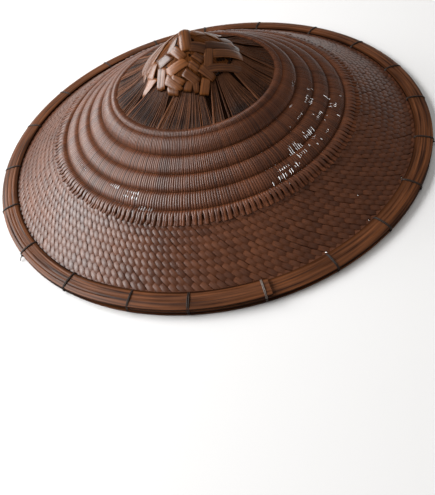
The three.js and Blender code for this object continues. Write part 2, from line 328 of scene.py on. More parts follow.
def bamboo_group():
    """Aged bamboo: streaks along the fibre, blotches, painted shade on low, sunk edges, and paler raised
    skin.
    """
    group, add, reckon, given = new_tree("aged_bamboo", "ShaderNodeTree", {
        "Fibre": "Vector", "Rise": "Float", "Tone": "Float", "Streaks": "Float", "Sunk": "Color",
        "Dark": "Color", "Light": "Color", "Contrast": "Float", "Shine": "Float", "Rough": "Float",
    }, {"Color": "Color", "Roughness": "Float", "Height": "Float", "Gloss": "Float"})
    split = add("ShaderNodeSeparateXYZ", {0: given["Fibre"]}).outputs
    along = reckon("MULTIPLY", split["X"], reckon("MULTIPLY", given["Streaks"], streak_stretch))
    across = reckon("MULTIPLY", split["Y"], given["Streaks"])
    shifted = reckon("MULTIPLY_ADD", given["Tone"], streak_shift, across)
    place = add("ShaderNodeCombineXYZ", {"X": along, "Y": shifted}).outputs[0]

    def noise(place, scale, detail):
        node = add("ShaderNodeTexNoise", {"Scale": scale, "Detail": detail, "Vector": place})
        return node.outputs["Fac"]

    streak = noise(place, 1.0, 3.0)
    blotch = noise(add("ShaderNodeTexCoord", {}).outputs["Object"], blotch_scale, 4.0)
    streaked = reckon("MULTIPLY", reckon("SUBTRACT", streak, 0.5), given["Contrast"])
    toned = reckon("MULTIPLY_ADD", given["Tone"], tone_share, streaked)
    share = reckon("ADD", reckon("ADD", blotch, toned), share_shift, clamp=True)
    skin = add("ShaderNodeMix", {
        "Factor": share, "A": given["Dark"], "B": given["Light"],
    }, data_type="RGBA").outputs["Result"]
    # Painted shade: where the rise is low, the colour is mixed towards the painted shade colour
    skin_with_painted_shade = add("ShaderNodeMix", {
        "Factor": reckon("MULTIPLY", given["Rise"], painted_shade_share, clamp=True),
        "A": given["Sunk"], "B": skin,
    }, data_type="RGBA").outputs["Result"]
    skin_top = reckon("MULTIPLY_ADD", given["Rise"], 2.0, -1.0, clamp=True)
    add("NodeGroupOutput", {
        "Color": skin_with_painted_shade,
        "Roughness": reckon("MULTIPLY_ADD", blotch, 0.2, given["Rough"]),
        "Height": streak,
        "Gloss": reckon("MULTIPLY_ADD", skin_top, given["Shine"], least_gloss),
    })
    return group


bamboo = bamboo_group()


def bamboo_finish(name, sunk, dark, light, streaks, contrast=0.9, relief=0.15, shine=0.9, rough=0.26):
    """A finish of the hat's bamboo, with its own colours, a colour for painted shade, fibre and gloss.
    """
    material, nodes, links = finish_of(name)
    skin = nodes.new("ShaderNodeGroup")
    skin.node_tree = bamboo
    values = {
        "Sunk": (*sunk, 1), "Dark": (*dark, 1), "Light": (*light, 1), "Streaks": streaks,
        "Contrast": contrast, "Shine": shine, "Rough": rough,
    }
    for label, value in values.items():
        skin.inputs[label].default_value = value
    fibre = nodes.new("ShaderNodeUVMap")
    fibre.uv_map = "fibre"
    links.new(fibre.outputs["UV"], skin.inputs["Fibre"])
    for label in ("Rise", "Tone"):
        attribute = nodes.new("ShaderNodeAttribute")
        attribute.attribute_name = label.lower()
        links.new(attribute.outputs["Fac"], skin.inputs[label])
    shader = nodes["Principled BSDF"]
    sockets = {"Color": "Base Color", "Roughness": "Roughness", "Gloss": "Specular IOR Level"}
    for label, socket in sockets.items():
        links.new(skin.outputs[label], shader.inputs[socket])
    bump = nodes.new("ShaderNodeBump")
    bump.inputs["Distance"].default_value = relief * mm
    bump.inputs["Strength"].default_value = 0.8
    links.new(skin.outputs["Height"], bump.inputs["Height"])
    links.new(bump.outputs["Normal"], shader.inputs["Normal"])
    return material


plait_finish = bamboo_finish(
    "plait_skin", sunk=(0.012, 0.005, 0.002), dark=(0.06, 0.018, 0.005), light=(0.28, 0.096, 0.026),
    streaks=600, contrast=2.2, relief=0.2, shine=0.5, rough=0.22,
)

rng = np.random.default_rng(11)
peak_line = smooth_line(plait_line)
tip_width = 4 * mm


def on_peak(x, y, lift):
    """Points of the plan laid on the peak's line and lifted square to it."""
    _, r, z, out_r, out_z = peak_line
    radius = np.maximum(np.hypot(x, y), 0.01 * mm)
    over = 1 + np.interp(radius, r, out_r) * lift / radius * np.clip(radius / tip_width, 0, 1)
    height = np.interp(radius, r, z) + np.interp(radius, r, out_z) * lift
    return np.stack([x * over, y * over, height], axis=-1)


def plait_float(corners, top, dip, tuck, runs=0.0, swell=strip_swell, darker_and_painted_shade=0.0):
    """One float: a strip between its four corners, with both ends tucked down or one running on."""
    start_one, start_two, end_two, end_one = (np.array(corner) * mm for corner in corners)
    length = (np.linalg.norm(start_one - end_one) + np.linalg.norm(start_two - end_two)) / 2
    width = np.linalg.norm(start_one - start_two)
    ends_first = (1 - np.cos(np.linspace(0, math.pi, strip_stations))) / 2
    shares = -tuck / length + ends_first * (1 + (2 * tuck + runs) / length)
    t, s = np.meshgrid(shares, strip_across, indexing="ij")
    share, side = t[..., None], s[..., None]
    plan = (start_one * (1 - share) + end_one * share) * (1 - side)
    plan += (start_two * (1 - share) + end_two * share) * side
    from_end = np.minimum(t, 1 - t + runs / length) * length + tuck
    arch = np.sin(math.pi / 2 * np.clip(from_end / strip_fall, 0, 1))
    run_share = np.clip(((t - 1) * length + run_start) / (runs + run_start), 0, 1) * (runs > 0)
    at_edge = np.abs(s - 0.5) > 0.5
    lift = arch * (top + dip) - dip + swell * (1 - (2 * s - 1) ** 2) - strip_edge_drop * at_edge
    lift -= run_fall * run_share ** 1.4
    x, y = plan[..., 0], plan[..., 1]
    # Painted shade: strips towards the right, away from the window, are painted deeper in tone
    darker_and_painted_shade += right_painted_shade * np.clip(x.mean() / right_reach, 0, 1)
    # Painted shade: the rise falls at the edges and at the tucked ends, so these take the painted shade
    # colour
    return strip_part(
        on_peak(x, y, lift), on_peak(x, y, lift - strip_thick), (t * length, s * width),
        np.clip(arch - 0.6 * at_edge, 0, 1), rng.uniform(-0.3, 1.2) - darker_and_painted_shade,
    )


plait_parts = []
for turned in (1, -1):
    for corners in plait_floats + running_floats:
        if turned < 0 and max(math.hypot(*corner) for corner in corners) > repeated_within:
            continue
        runs = run_on if corners in running_floats else 0.0
        corners = [(x * turned, y * turned) for x, y in corners]
        top = strip_top + rng.uniform(-0.2, 0.2) * mm
        plait_parts.append(plait_float(corners, top, strip_dip, strip_tuck, runs))
plait_parts.append(plait_float(tip_fold, tip_top, tip_dip, tip_tuck, swell=tip_swell, darker_and_painted_shade=tip_darker))
turn, down = np.meshgrid(
    full_turn(layer_turns), np.linspace(layer_from, layer_to, layer_rows), indexing="ij",
)
fallen = np.clip(down - layer_falls_from, 0, layer_falls_over) * layer_fall
# The layer under the floats has a lowered rise, so it is painted partly in shade
plait_parts.append(strip_part(
    *(on_line(peak_line, down, turn, side - fallen) for side in (layer_top, layer_bottom)),
    (down, turn * 30 * mm), np.full(down.shape, 0.5), 0.3, joined=True,
))
# The eyes have no rise and take the painted shade colour in full: dark discs where the plait's gaps are
# in shade
for x, y in eyes:
    turn, out = np.meshgrid(full_turn(eye_points), (0.05, 1), indexing="ij")
    size = eye_radius * rng.uniform(0.75, 1.1)
    eye_x, eye_y = x * mm + size * out * np.cos(turn), y * mm + size * out * np.sin(turn)
    plait_parts.append(strip_part(
        *(on_peak(eye_x, eye_y, side) for side in (eye_top, eye_bottom)),
        (out * 0, out * 0), 0.0, 0.0, joined=True,
    ))
peak = add_piece("peak_plait", plait_parts, plait_finish)
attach(peak, "root")
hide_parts("peak_weave")

# Splint fans
# The end of each plaited strip, split into fine splints that spread out from under the plait to
# the first rib. Each fan's first splints lie over its neighbour as a paler bundle, partly their own
# colour and partly a painted highlight on the raised edge, and tucked splints in shade close the gaps
# below. Pale splints are partly paler splints and partly painted glints; fans turned away from the
# window are painted lighter, and fans facing it get a painted glint at their feet.

# Where each fan's foot and root lie, from and to in degrees round the hat
fan_places = (
    (206, 235, 211, 236), (236, 274, 247, 276), (275, 311, 290, 316), (312, 346, 323, 362),
    (347, 378, 367, 388), (379, 407, 392, 413), (408, 436, 418, 440), (437, 464, 445, 467),
    (465, 490, 472, 493), (491, 515, 497, 517), (516, 540, 521, 538), (541, 565, 541, 554),
)
fan_line = np.array((
    (43, 110.2), (53, 103.2), (64, 96.4), (77, 90.3), (80, 89), (83, 87.5), (86, 85.6), (88, 84.2),
)) * mm
fan_root_radius = 43 * mm
fan_foot_radius = 88 * mm
splints_per_degree = 1.5
fan_overlap = 1.2
fan_tilt = 1.6 * mm
fan_splint_width = 0.9 * mm
fan_splint_thick = 0.7 * mm
fan_down = np.array((0, 0.15, 0.3, 0.45, 0.6, 0.72, 0.81, 0.88, 0.94, 1))
fan_bundle = 2
fan_bundle_rise = 0.5 * mm
fan_tucked = 24
fan_tucked_wider = 1.75
fan_foot_sway = 0.18
fan_unevenness = 0.45 * mm
fan_pale_share, fan_pale_slim, fan_pale_rise = 0.22, 0.55, 0.3 * mm
window_turn = math.radians(212)
fan_tuck_drop = 1.3 * mm
# Tone of the fans, its random sway and the painted light on fans turned away from the window; the tone
# drop towards the foot and the painted glint at feet facing the window
fan_tone, fan_tone_sway, fan_painted_light_turned_away = -0.06, 0.25, 0.55
fan_foot_darker, fan_painted_window_glint = (0.5, 0.9), (0.3, 1.4)
fan_splits = 3
fan_split_share = 0.03


def finish_tree(tree, add, given, shape):
    """Ends a tree: makes its copies real, gives them the finish and puts them out."""
    real = add("GeometryNodeRealizeInstances", {"Geometry": shape}).outputs["Geometry"]
    done = add("GeometryNodeSetMaterial", {"Geometry": real, "Material": given["Finish"]})
    add("NodeGroupOutput", {"Geometry": done.outputs["Geometry"]})
    return tree


def strand_tree():
    """Strands laid along guide lines, with their width, thickness, sides and finish as inputs."""
    tree, add, reckon, given = new_tree("strands_on_guides", "GeometryNodeTree", {
        "Geometry": "Geometry", "Width": "Float", "Thickness": "Float", "Sides": "Int",
        "Finish": "Material",
    }, {"Geometry": "Geometry"})

    def capture(shape, kind, label, value):
        node = add("GeometryNodeCaptureAttribute", {"Geometry": shape})
        node.capture_items.new(kind, label)
        tree.links.new(value, node.inputs[label])
        return node.outputs

    curve = add("GeometryNodeMeshToCurve", {"Mesh": given["Geometry"]}).outputs["Curve"]
    level = add("GeometryNodeSetCurveNormal", {"Curve": curve}, mode="Z_UP").outputs["Curve"]
    guide = capture(level, "FLOAT", "Length", add("GeometryNodeSplineParameter", {}).outputs["Length"])
    ring = add("GeometryNodeCurvePrimitiveCircle", {
        "Radius": 0.5, "Resolution": given["Sides"],
    }, mode="RADIUS").outputs["Curve"]
    size = add("ShaderNodeCombineXYZ", {"X": given["Width"], "Y": given["Thickness"]}).outputs[0]
    flat = add("GeometryNodeTransform", {"Geometry": ring, "Scale": size}).outputs["Geometry"]
    section = capture(flat, "VECTOR", "Place", add("GeometryNodeInputPosition", {}).outputs[0])
    width = add("GeometryNodeInputNamedAttribute", {"Name": "width"}, data_type="FLOAT")
    last = add("GeometryNodeCurveToMesh", {
        "Curve": guide["Geometry"], "Profile Curve": section["Geometry"],
        "Scale": width.outputs["Attribute"], "Fill Caps": True,
    }).outputs["Mesh"]
    split = add("ShaderNodeSeparateXYZ", {0: section["Place"]}).outputs
    fibre = add("ShaderNodeCombineXYZ", {"X": guide["Length"], "Y": split["X"]}).outputs[0]
    # Painted shade: the rise falls across each strand's thickness, so one face takes the painted shade
    # colour
    rise = reckon("SUBTRACT", 0.5, reckon("DIVIDE", split["Y"], given["Thickness"]))
    kept = (("rise", "FLOAT", "POINT", rise), ("fibre", "FLOAT2", "CORNER", fibre))
    for label, kind, domain, value in kept:
        last = add("GeometryNodeStoreNamedAttribute", {
            "Geometry": last, "Name": label, "Value": value,
        }, data_type=kind, domain=domain).outputs["Geometry"]
    smooth = add("GeometryNodeSetShadeSmooth", {"Geometry": last}).outputs["Geometry"]
    return finish_tree(tree, add, given, smooth)


strands = strand_tree()


def grow(piece, tree, values):
    """Runs a node tree on a piece with the named inputs and leaves the result as its plain mesh."""
    modifier = piece.modifiers.new(tree.name, "NODES")
    modifier.node_group = tree
    for item in tree.interface.items_tree:
        if item.item_type == "SOCKET" and item.in_out == "INPUT" and item.name in values:
            modifier[item.identifier] = values[item.name]
    view = bpy.context.evaluated_depsgraph_get()
    view.update()
    mesh = bpy.data.meshes.new_from_object(
        piece.evaluated_get(view), preserve_all_data_layers=True, depsgraph=view,
    )
    piece.modifiers.remove(modifier)
    piece.data = mesh
    return piece


def join(pieces, name):
    """Joins the pieces into the first and gives it the name."""
    with bpy.context.temp_override(active_object=pieces[0], selected_editable_objects=pieces):
        bpy.ops.object.join()
    pieces[0].name = name
    pieces[0].data.name = name
    return pieces[0]


def lay_strands(name, lines, width, thick, sides, finish):
    """Strands along guide lines: each has points, width shares, a tone, and may close on itself."""
    points, edges = [], []
    for line in lines:
        start, last = len(points), len(points) + len(line["points"]) - 1
        points += line["points"].tolist()
        edges += [(i, i + 1) for i in range(start, last)]
        if line.get("closed"):
            edges.append((last, start))
    mesh = bpy.data.meshes.new(name)
    mesh.from_pydata(points, edges, [])
    keep(mesh, "width", lines)
    keep(mesh, "tone", lines)
    values = {"Width": width, "Thickness": thick, "Sides": sides, "Finish": finish}
    return grow(put(name, mesh), strands, values)


splint_finish = bamboo_finish(
    "fan_splints", sunk=(0.006, 0.003, 0.001), dark=(0.02, 0.006, 0.002), light=(0.3, 0.11, 0.044),
    streaks=900, contrast=0.8, relief=0.06, shine=0.3, rough=0.4,
)
shade_finish = bamboo_finish(
    "shaded_splints", sunk=(0.003, 0.001, 0.001), dark=(0.008, 0.003, 0.001), light=(0.02, 0.008, 0.003),
    streaks=900, contrast=0.8, relief=0.06, shine=0.0, rough=0.7,
)
for number, (foot_from, foot_to, root_from, root_to) in enumerate(fan_places, start=1):
    rng = np.random.default_rng(100 + number)
    count = round((foot_to - foot_from) * splints_per_degree)
    lines = []
    shaded = []
    splits = rng.uniform(0.08, 0.95, fan_splits)
    for k in list(range(count + fan_tucked)) + [k + 0.5 for k in range(count)]:
        under = k >= count or k % 1 > 0
        share = (k + 0.5) / count
        if not under and k >= fan_bundle and np.abs(splits - share).min() < fan_split_share / 2:
            continue
        root_angle = math.radians(root_from + (root_to - root_from) * share)
        foot_angle = foot_from - fan_overlap + (foot_to - foot_from + 2 * fan_overlap) * share
        foot_angle = math.radians(foot_angle + rng.uniform(-fan_foot_sway, fan_foot_sway))
        root = round_axis(fan_root_radius, root_angle, 0)[:2]
        foot = round_axis(fan_foot_radius, foot_angle, 0)[:2]
        place = root + (foot - root) * fan_down[:, None]
        radius = fan_root_radius + (fan_foot_radius - fan_root_radius) * fan_down
        belly = np.sin(math.pi * fan_down)
        height = np.interp(radius, *fan_line.T)
        height += fan_tilt * (0.5 - share) * belly - fan_splint_thick / 2
        height += rng.uniform(-fan_unevenness, fan_unevenness) * belly
        bundled = k < fan_bundle and not under
        pale = bundled or rng.uniform() < fan_pale_share
        height += fan_bundle_rise * bundled - fan_tuck_drop * under * belly ** 0.5
        height += fan_pale_rise * (pale and not under) * belly
        turned_away = max(0, math.cos(root_angle))
        to_window = max(0, math.cos(root_angle - window_turn))
        # Painted light: fans turned away from the window are painted lighter and less varied, and fans
        # facing it get a painted glint at their feet
        tone = fan_tone + fan_painted_light_turned_away * turned_away
        tone += rng.uniform(-fan_tone_sway, fan_tone_sway) * (1 - 0.8 * turned_away)
        tone -= rng.uniform(*fan_foot_darker) * fan_down
        tone += rng.uniform(*fan_painted_window_glint) * to_window * np.clip(fan_down * 4 - 2.8, 0, 1)
        width = fan_tucked_wider
        if not under:
            slim = fan_pale_slim if pale and not bundled else 1
            width = rng.uniform(0.85, 1.05) * slim * (1 + 0.2 * turned_away)
        # Pale splints are partly paler splints and partly painted glints, which fade on fans turned away
        # from the window
        if pale:
            tone = (rng.uniform(0.6, 1) + 0.5 * fan_down) * (1 - 0.6 * turned_away)
        (shaded if under else lines).append({
            "points": np.column_stack([place, height]), "width": (0.62 + 0.55 * fan_down) * width,
            "tone": tone,
        })
    size = fan_splint_width, fan_splint_thick, 5
    fan = lay_strands(f"fan_splints_{number:02d}", lines, *size, splint_finish)
    tucked = lay_strands(f"tucked_splints_{number:02d}", shaded, *size, shade_finish)
    join([fan, tucked], fan.name)
    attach(fan, "root")
    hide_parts(f"splint_fan_{number:02d}")

# Ribbed crown
# The same splints run on over a small first ring and five wide ones, which lifts them into round
# ribs, with a thread in each groove between, coloured dark as painted shade of the groove. They touch
# side by side, stand in pairs at the foot, and have come apart in slits, mostly on the right, where
# light shows through.
first_rib = (
    (82.5, 87.6), (84, 88), (85.6, 88.2), (87.2, 87.9), (88.6, 87.1), (89.8, 86), (90.5, 85),
    (90.9, 84.2),
)
grooves = np.array((
    (90.5, 85), (104, 73.5), (120.3, 64), (135.7, 55.4), (151.3, 46.7), (163, 42.9),
)) * mm
rib_rise = 2.2 * mm
rib_flatness = 2.7
last_rib_rise = 1.9 * mm
splint_ends = np.array(((162.6, 43.6), (164.6, 43), (166.6, 41.9))) * mm
splint_end_spread = 1.3 * mm
crown_splints = 360
rib_stations = 7
groove_shade_from = 0.84
splint_half_height = 0.36 * mm
splint_share = 1.2
splint_section = np.array(((-0.5, -0.8), (-0.33, 0.35), (0, 1), (0.33, 0.35), (0.5, -0.8)))
rib_smooth_until = 0.42
first_rib_smooth_until = 0.85
splint_sway = math.radians(0.07)


def smooth_step(value, low, high):
    share = np.clip((value - low) / (high - low), 0, 1)
    return share * share * (3 - 2 * share)


def ribbed_lines(steps):
    """Middle of the crown's wall over each rib. The last line runs on to the splints' ends."""
    lines = []
    u = np.linspace(0, 1, steps + 1)[:, None]
    for start, end in zip(grooves[:-1], grooves[1:]):
        run = end - start
        upright = np.array((-run[1], run[0])) / np.linalg.norm(run)
        rise = rib_rise if end[0] < grooves[-1, 0] else last_rib_rise
        lines.append(start + run * u + upright * rise * (1 - np.abs(2 * u - 1) ** rib_flatness))
    lines.insert(0, np.array(first_rib) * mm)
    lines[-1] = np.concatenate([lines[-1][:-1], splint_ends])
    return lines


def ring_tree():
    """Copies of a piece round the hat's axis, each swayed round and lifted a little by chance."""
    tree, add, reckon, given = new_tree("copies_round_the_hat", "GeometryNodeTree", {
        "Geometry": "Geometry", "Count": "Int", "First angle": "Float", "Sway": "Float", "Lift": "Float",
        "Seed": "Int", "Finish": "Material",
    }, {"Geometry": "Geometry"})
    index = add("GeometryNodeInputIndex", {}).outputs[0]

    def chance(low, high, draw):
        seed = reckon("ADD", given["Seed"], draw)
        drawn = {2: low, 3: high, "ID": index, "Seed": seed}
        return add("FunctionNodeRandomValue", drawn, data_type="FLOAT").outputs[1]

    lift = reckon("MULTIPLY", chance(-1, 1, 200), given["Lift"])
    place = add("ShaderNodeCombineXYZ", {"Z": lift}).outputs[0]
    spots = add("GeometryNodePoints", {"Count": given["Count"], "Position": place}).outputs[0]
    step = reckon("DIVIDE", 2 * math.pi, given["Count"])
    angle = reckon("MULTIPLY_ADD", index, step, given["First angle"])
    swayed = reckon("ADD", angle, reckon("MULTIPLY", chance(-1, 1, 100), given["Sway"]))
    turn = add("FunctionNodeAxisAngleToRotation", {"Axis": (0, 0, 1), "Angle": swayed}).outputs[0]
    last = add("GeometryNodeInstanceOnPoints", {
        "Points": spots, "Instance": given["Geometry"], "Rotation": turn,
    }).outputs["Instances"]
    for label, value in (("tone", chance(0, 1, 0)), ("number", index)):
        last = add("GeometryNodeStoreNamedAttribute", {
            "Geometry": last, "Name": label, "Value": value,
        }, data_type="FLOAT", domain="INSTANCE").outputs["Geometry"]
    return finish_tree(tree, add, given, last)


ring_of_copies = ring_tree()

rib_finish = bamboo_finish(
    "rib_splints", sunk=(0.03, 0.01, 0.004), dark=(0.055, 0.019, 0.01), light=(0.185, 0.061, 0.025),
    streaks=700, contrast=1.2, relief=0.05, shine=0.7, rough=0.24,
)
pitch_share = 2 * math.pi / crown_splints * splint_share
first_splint = math.radians(0.5)
around, section_lift = splint_section.T
at_edge = np.abs(around) > 0.45
rib_wall_depth = 0.4 * mm
ribs = []
for rib, line in enumerate(ribbed_lines(rib_stations)):
    slope = np.gradient(line, axis=0)
    slope /= np.linalg.norm(slope, axis=1)[:, None]
    out = np.column_stack([-slope[:, 1], slope[:, 0]])
    along = np.minimum(np.arange(len(line)) / rib_stations, 1)
    smooth_until = rib_smooth_until if rib > 1 else first_rib_smooth_until
    bare = 0.4 + 0.6 * smooth_step(along, 0.05, smooth_until)[:, None]
    last_shade = 1 if rib < len(grooves) - 1 else 0.7
    crest = smooth_step(along, 0.02, 0.3) * (1 - last_shade * smooth_step(along, groove_shade_from, 1))
    lift = np.where(at_edge, -0.1 - 0.9 * bare, section_lift)
    depth = lift * splint_half_height - rib_wall_depth
    rings = round_axis(
        line[:, :1] + out[:, :1] * depth, around * pitch_share, line[:, 1:] + out[:, 1:] * depth,
    )
    corners = np.arange(rings[..., 0].size).reshape(rings.shape[:2])
    faces = [tuple(corners[0]), tuple(corners[-1][::-1])]
    for here, there in zip(corners, corners[1:]):
        faces += zip(here, there, np.roll(there, -1), np.roll(here, -1))
    run_length = np.concatenate(([0], np.cumsum(np.linalg.norm(np.diff(line, axis=0), axis=1))))
    fibre = np.stack(np.broadcast_arrays(run_length[:, None] + line[0, 0], around * 2 * mm), axis=-1)
    # Painted shade: the splints' edges, where they part, and the bands next to each groove get a lower
    # rise and so the painted shade colour
    crest_rise = np.clip(lift + 0.4, 0, 1) * (0.58 + 0.42 * crest[:, None])
    splint = add_piece(f"rib_{rib}", [{
        "points": rings.reshape(-1, 3),
        "faces": faces,
        "fibre": fibre.reshape(-1, 2),
        "rise": np.where(at_edge, 0.4 - 0.3 * bare, crest_rise).ravel(),
    }], rib_finish)
    ribs.append(grow(splint, ring_of_copies, {
        "Count": crown_splints, "First angle": first_splint, "Sway": splint_sway, "Lift": 0.0,
        "Seed": 5, "Finish": rib_finish,
    }))
crown = join(ribs, "crown_splints")

# Slits: where they lie, from and to in degrees round the hat and in millimetres from its axis
slits = (
    (293, 298, 142, 144), (292, 299, 147, 149.5), (303, 307, 130.5, 132), (302, 309, 134, 136.5),
    (304, 308, 141.3, 142.8), (313, 320, 132.3, 134.6), (300, 302, 146, 147.2), (315, 318, 139, 140.2),
    (321, 323, 144.5, 146), (317, 317, 145.3, 146.3), (314, 314, 129.5, 130.3), (289, 289, 149.6, 150.6),
    (314, 314, 145, 145.8), (312, 312, 117, 118), (311, 311, 141, 142), (325, 330, 131.5, 133.3),
    (325, 328, 127.4, 128.3), (327, 327, 138, 139.2), (330, 330, 139, 140.2), (335, 338, 139, 140),
    (337, 339, 142.4, 143.6), (341, 341, 130.5, 135.8), (319, 324, 117.2, 118.6),
    (321, 321, 113.8, 114.8), (331, 336, 116, 117.4), (332, 336, 119.8, 121), (341, 341, 115, 116.2),
    (343, 343, 118.5, 119.8),
    (338, 342, 101, 102.5), (345, 345, 146, 147.3), (333, 333, 147.5, 148.8), (322, 324, 106.5, 107.5),
    (238, 243, 150.5, 154), (231, 236, 139.5, 141), (230, 236, 144.3, 146), (222, 226, 139, 141),
    (195, 205, 142, 144), (229, 231, 161, 163),
)
slit_opening = (0.14, 0.21)
slit_closed_share = 0.08
slit_end = 1.3 * mm
# Towards the right the slits gape wider
slit_turned_from, slit_turned_to, slit_turned_wider = 324, 342, 0.85
pair_from = 155 * mm
pair_to = 160 * mm
pair_shift = math.radians(0.27)

points = np.empty((len(crown.data.vertices), 3), dtype=np.float32)
crown.data.vertices.foreach_get("co", points.ravel())
numbers = np.empty(len(points), dtype=np.float32)
crown.data.attributes["number"].data.foreach_get("value", numbers)
which = numbers.astype(int)
radius = np.hypot(points[:, 0], points[:, 1])
middle = np.radians(numbers) + first_splint
offset = (np.arctan2(points[:, 1], points[:, 0]) - middle + math.pi) % (2 * math.pi) - math.pi
rng = np.random.default_rng(21)
for slit_from, slit_to, inner, outer in slits:
    for gap in range(math.ceil(slit_from), math.floor(slit_to) + 1):
        if rng.uniform() < slit_closed_share and slit_to - slit_from > 2.5:
            continue
        start, end = (inner + rng.uniform(-0.3, 0.3)) * mm, (outer + rng.uniform(-0.3, 0.3)) * mm
        in_reach = smooth_step(radius, start - slit_end, start)
        in_reach *= 1 - smooth_step(radius, end, end + slit_end)
        in_reach *= rng.uniform(*slit_opening)
        in_reach *= 1 + slit_turned_wider * smooth_step(gap, slit_turned_from, slit_turned_to)
        for splint, side in ((gap - 1, 1), (gap, -1)):
            chosen = (which == splint) & (offset * side > 0)
            offset = np.where(chosen, offset * (1 - 2 * in_reach), offset)
pair_side = np.where(which % 2, -1, 1) * rng.uniform(0.3, 1.4, crown_splints)[which]
offset = offset + pair_side * pair_shift * smooth_step(radius, pair_from, pair_to)
spread = rng.uniform(-1, 1, crown_splints)[which] * splint_end_spread
radius = radius + spread * smooth_step(radius, splint_ends[0, 0], splint_ends[-1, 0])
points[:, 0] = radius * np.cos(middle + offset)
points[:, 1] = radius * np.sin(middle + offset)
crown.data.vertices.foreach_set("co", points.ravel())
crown.data.update()
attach(crown, "root")
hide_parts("crown")

# The groove threads' dark colour is painted shade of the grooves
painted_shade_thread_finish = bamboo_finish(
    "binding_thread_painted_shade", sunk=(0.02, 0.007, 0.003), dark=(0.04, 0.013, 0.005), light=(0.11, 0.039, 0.016),
    streaks=900, contrast=0.6, relief=0.03, shine=0.2,
)
thread_points = 180
thread_width, thread_thick, thread_rise = 0.8 * mm, 0.5 * mm, 0.1 * mm
turn = full_turn(thread_points)
threads = lay_strands("groove_threads", [
    {"points": round_axis(r, turn, z + thread_rise), "width": 1.0, "tone": 0.3, "closed": True}
    for r, z in grooves[1:-1]
], thread_width, thread_thick, 6, painted_shade_thread_finish)
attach(threads, "root")
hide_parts("crown")

# Woven brim
# Pairs of flat wefts twined round the splints, row by row. Each turn of a weft shows as a slanted
# scale whose outer end lies further round, and its ends dip under the next rows.
brim_line = smooth_line((
    (154, 43.6), (158, 43.9), (163.4, 42.6), (180, 32.3), (200, 19.8), (212, 12.3), (218.5, 8.4),
    (222, 7.2), (237, 5.1),
))
stitch_columns = 176
stitch_rows = 10
first_row_radius = 163.2
last_row_radius = 225.4
stitch_stations = 5
stitch_across = 5
stitch_sway = math.radians(0.16)
stitch_lift = 0.12 * mm
stitch_taper = 0.1
stitch_dip = -0.52 * mm
stitch_arch = 0.45 * mm
stitch_swell = 0.26 * mm
stitch_thick = 0.35 * mm
stitch_deepest = -1.2 * mm
# How far each end of a stitch runs under its neighbours, as a share of its length
stitch_overlap = 0.2
weave_finish = bamboo_finish(
    "brim_weave", sunk=(0.03, 0.01, 0.005), dark=(0.06, 0.02, 0.01), light=(0.172, 0.058, 0.024),
    streaks=900, contrast=1.3, relief=0.12, shine=0.64, rough=0.27,
)
row_edges = np.linspace(first_row_radius, last_row_radius, stitch_rows + 1) * mm
stitch_step = 2 * math.pi / stitch_columns


def distance_of(radius):
    """How far down the brim's line a radius lies."""
    return np.interp(radius, brim_line[1], brim_line[0])


rows = []
for row in range(stitch_rows):
    inner, outer = row_edges[row], row_edges[row + 1]
    middle_radius = (inner + outer) / 2
    down_length = distance_of(outer) - distance_of(inner)
    round_length = middle_radius * stitch_step
    slant = math.atan2(round_length, down_length)
    half_width = round_length * math.cos(slant) / 2
    share = np.linspace(-stitch_overlap, 1 + stitch_overlap, stitch_stations)
    taper = 1 - stitch_taper * np.abs(2 * share - 1) ** 3
    side = np.linspace(-1, 1, stitch_across)
    t, s = np.meshgrid(share, side, indexing="ij")
    off = s * half_width * taper[:, None]
    down = distance_of(inner) + t * down_length - off * math.sin(slant)
    angle = (t * round_length + off * math.cos(slant)) / middle_radius
    arch = 1 - np.abs(2 * t - 1) ** 2.2
    lift = stitch_dip + stitch_arch * arch + stitch_swell * (1 - s ** 2)
    # Painted shade: each stitch's ends, where they dip under the next rows, and its flanks get a lower
    # rise and so part of the painted shade colour
    rise = 0.5 + 0.5 * np.clip(arch, 0, 1) * (1 - 0.4 * s ** 2)
    stitch = add_piece(f"stitch_row_{row}", [strip_part(
        on_line(brim_line, down, angle, lift),
        on_line(brim_line, down, angle, np.minimum(lift - stitch_thick, stitch_deepest)),
        (t * down_length, off), rise,
    )], weave_finish)
    rows.append(grow(stitch, ring_of_copies, {
        "Count": stitch_columns, "First angle": row * stitch_step, "Sway": stitch_sway,
        "Lift": stitch_lift, "Seed": 40 + row, "Finish": weave_finish,
    }))

# Pinholes with light behind them, by their angle round the hat and their distance from its axis
pinholes = ((291.5, 219), (306, 219), (323.2, 219.2), (339.5, 219.2), (309, 198.5))
pinhole_radius = 0.9 * mm
pinhole_edge = 1.3 * mm
pinhole_cuts = 3
pinhole_surround = 4 * mm
pinhole_points = 12
torn_depth, torn_width, torn_thick = -0.6 * mm, 0.6 * mm, 0.8 * mm


def pierce(piece):
    """Divides the piece's faces round each pinhole finely and takes out those over it."""
    shape = bmesh.new()
    shape.from_mesh(piece.data)
    centres = np.empty((len(piece.data.polygons), 3), dtype=np.float32)
    piece.data.polygons.foreach_get("center", centres.ravel())
    shape.faces.ensure_lookup_table()
    for degrees, r in pinholes:
        hole = Vector(round_axis(r * mm, math.radians(degrees), 0)[:2])
        near = np.hypot(centres[:, 0] - hole.x, centres[:, 1] - hole.y) < pinhole_surround
        around_hole = [shape.faces[i] for i in np.flatnonzero(near)]
        cut = bmesh.ops.subdivide_edges(
            shape, edges=list({edge for face in around_hole for edge in face.edges}),
            cuts=pinhole_cuts, use_grid_fill=True,
        )
        points = [item for item in cut["geom"] if isinstance(item, bmesh.types.BMVert)]
        faces = {face for point in points for face in point.link_faces}
        over = [face for face in faces if (face.calc_center_median().xy - hole).length < pinhole_radius]
        bmesh.ops.delete(shape, geom=over, context="FACES")
        shape.faces.ensure_lookup_table()
    shape.to_mesh(piece.data)
    shape.free()


